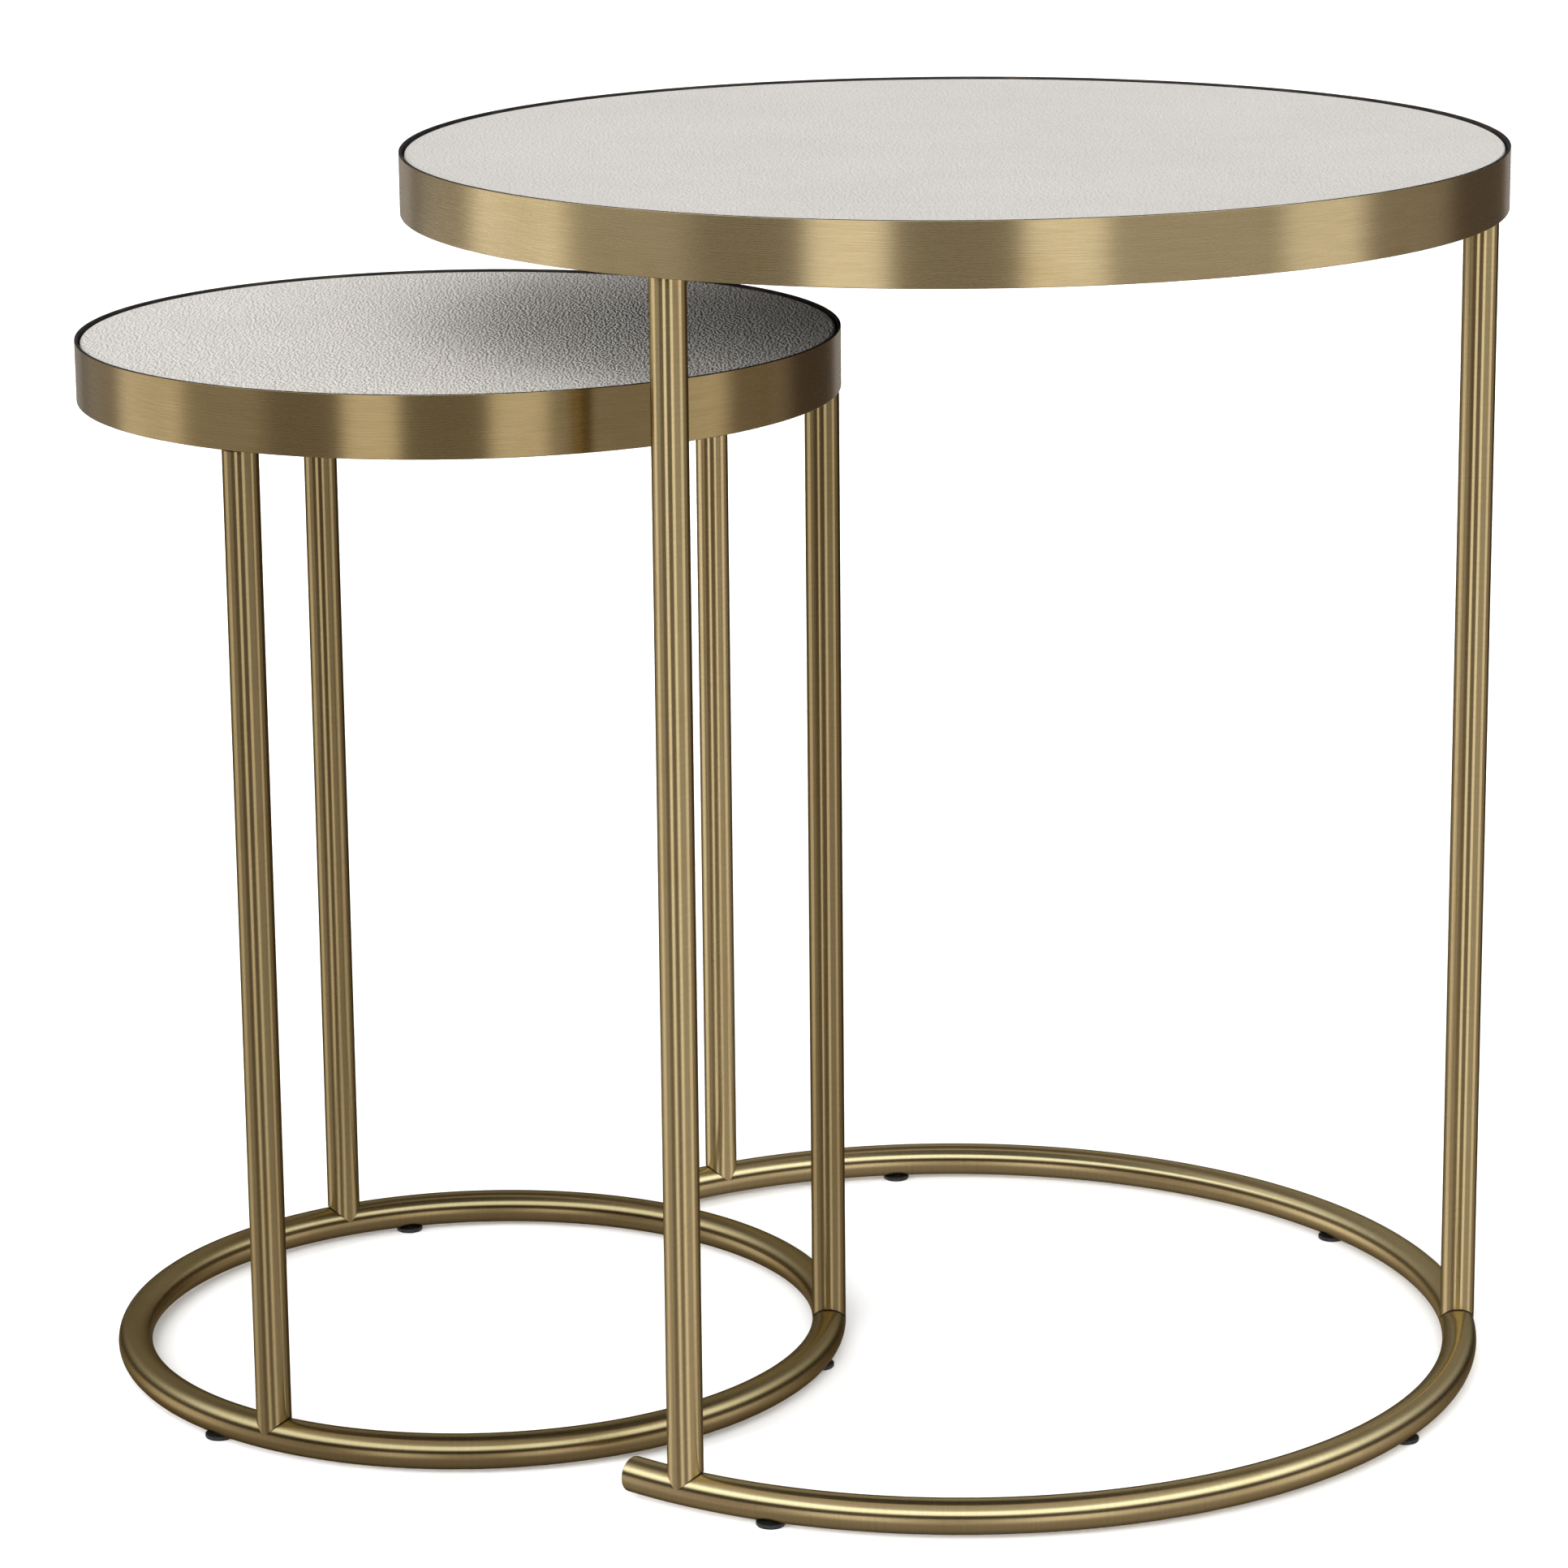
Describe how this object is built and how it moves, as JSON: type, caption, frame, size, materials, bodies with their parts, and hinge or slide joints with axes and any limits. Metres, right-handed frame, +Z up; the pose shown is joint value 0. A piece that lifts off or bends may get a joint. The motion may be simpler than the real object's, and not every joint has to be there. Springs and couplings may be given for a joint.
{
  "type": "nesting tables",
  "caption": "Two round side tables, one nesting under the other, with brushed brass bands around pale leather tops, slim tube legs and ring bases, the taller one's ring open at one side.",
  "frame": {"origin": "on the floor, at the middle of the plan box of both tables in the half-nested rest pose", "axes": "+Z up; +X from the small table towards the large one, along the nesting slide; +Y to the back"},
  "size_m": [0.65, 0.5, 0.575],
  "materials": {
    "antique_brass": "steel with a brushed antique-brass plating under satin lacquer",
    "leather": "pale greige leather with a fine grain",
    "core_board": "fibreboard, black below",
    "zinc_steel": "zinc plated",
    "black_nylon": "moulded"
  },
  "bodies": {
    "large_table": {"large_base_ring": "antique_brass", "large_ring_cap_front": "antique_brass", "large_ring_cap_back": "antique_brass", "large_leg_right": "antique_brass", "large_leg_back": "antique_brass", "large_leg_front": "antique_brass", "large_leg_inserts": "zinc_steel", "large_leg_washers": "zinc_steel", "large_leg_bolts": "zinc_steel", "large_rim": "antique_brass", "large_core_board": "core_board", "large_leather_inlay": "leather", "large_panel_screws": "zinc_steel", "large_glide_1": "black_nylon", "large_glide_2": "black_nylon", "large_glide_3": "black_nylon", "large_glide_4": "black_nylon"},
    "small_table": {"small_base_ring": "antique_brass", "small_leg_right": "antique_brass", "small_leg_back": "antique_brass", "small_leg_front": "antique_brass", "small_leg_inserts": "zinc_steel", "small_leg_washers": "zinc_steel", "small_leg_bolts": "zinc_steel", "small_rim": "antique_brass", "small_core_board": "core_board", "small_leather_inlay": "leather", "small_panel_screws": "zinc_steel", "small_glide_1": "black_nylon", "small_glide_2": "black_nylon", "small_glide_3": "black_nylon"}
  },
  "joints": [
    {"name": "nesting_slide", "type": "slide", "parent": "large_table", "child": "small_table", "axis": [1, 0, 0], "range_m": [-0.2, 0.2256]}
  ]
}
